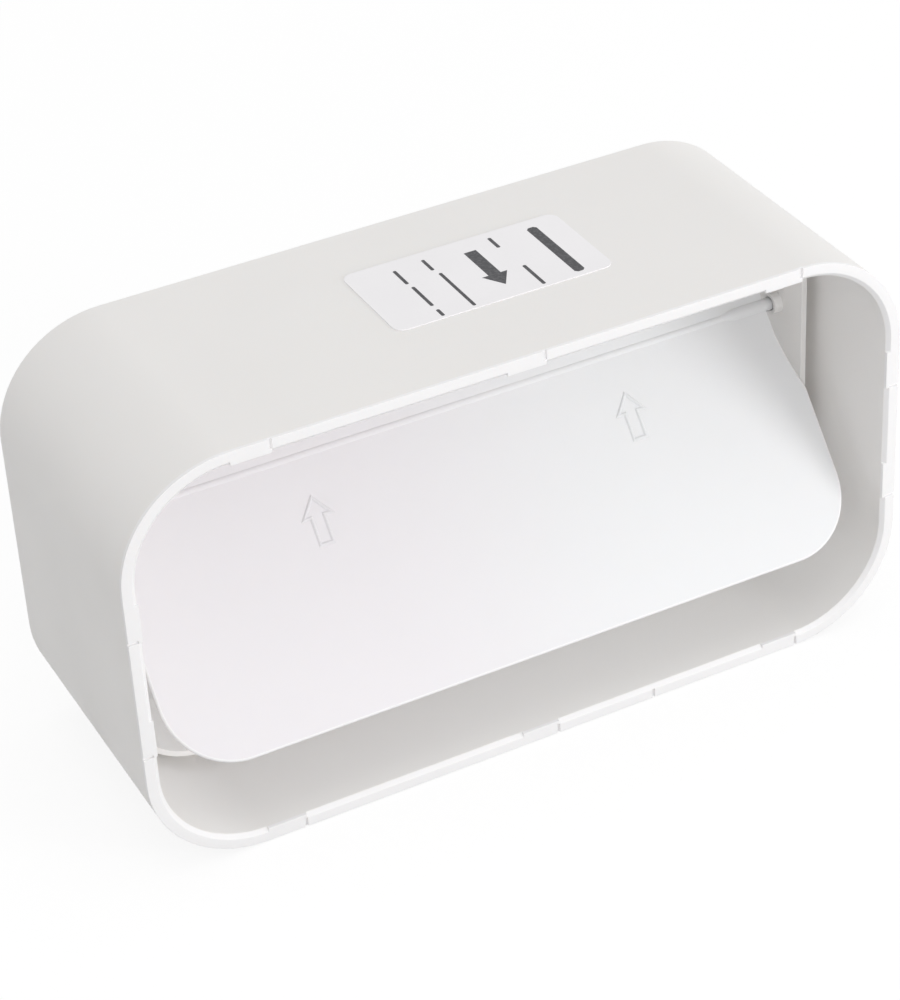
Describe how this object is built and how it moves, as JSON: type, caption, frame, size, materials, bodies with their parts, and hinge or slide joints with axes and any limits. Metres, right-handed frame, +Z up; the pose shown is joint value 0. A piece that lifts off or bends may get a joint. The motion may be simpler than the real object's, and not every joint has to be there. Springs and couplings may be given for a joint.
{
  "type": "duct backdraft valve",
  "caption": "Rounded rectangular plastic duct sleeve with a free-swinging backdraft flap hinged in a seat tube at its middle.",
  "frame": {"origin": "centre of the flat underside, under the middle of the sleeve", "axes": "+X across the width, +Y along the duct from the outlet mouth to the inlet mouth, +Z up"},
  "size_m": [0.177, 0.064, 0.0952],
  "materials": {
    "sleeve_plastic": "satin moulded plastic",
    "flap_plastic": "satin moulded plastic",
    "label_film": "satin printed film"
  },
  "bodies": {
    "sleeve": {"housing": "sleeve_plastic", "flow_label": "label_film"},
    "flap": {"flap": "flap_plastic"}
  },
  "joints": [
    {"name": "flap_swing", "type": "hinge", "parent": "sleeve", "child": "flap", "pos_m": [0, 0.0042, 0.0638], "axis": [-1, 0, 0], "range_deg": [-40, 45]}
  ]
}
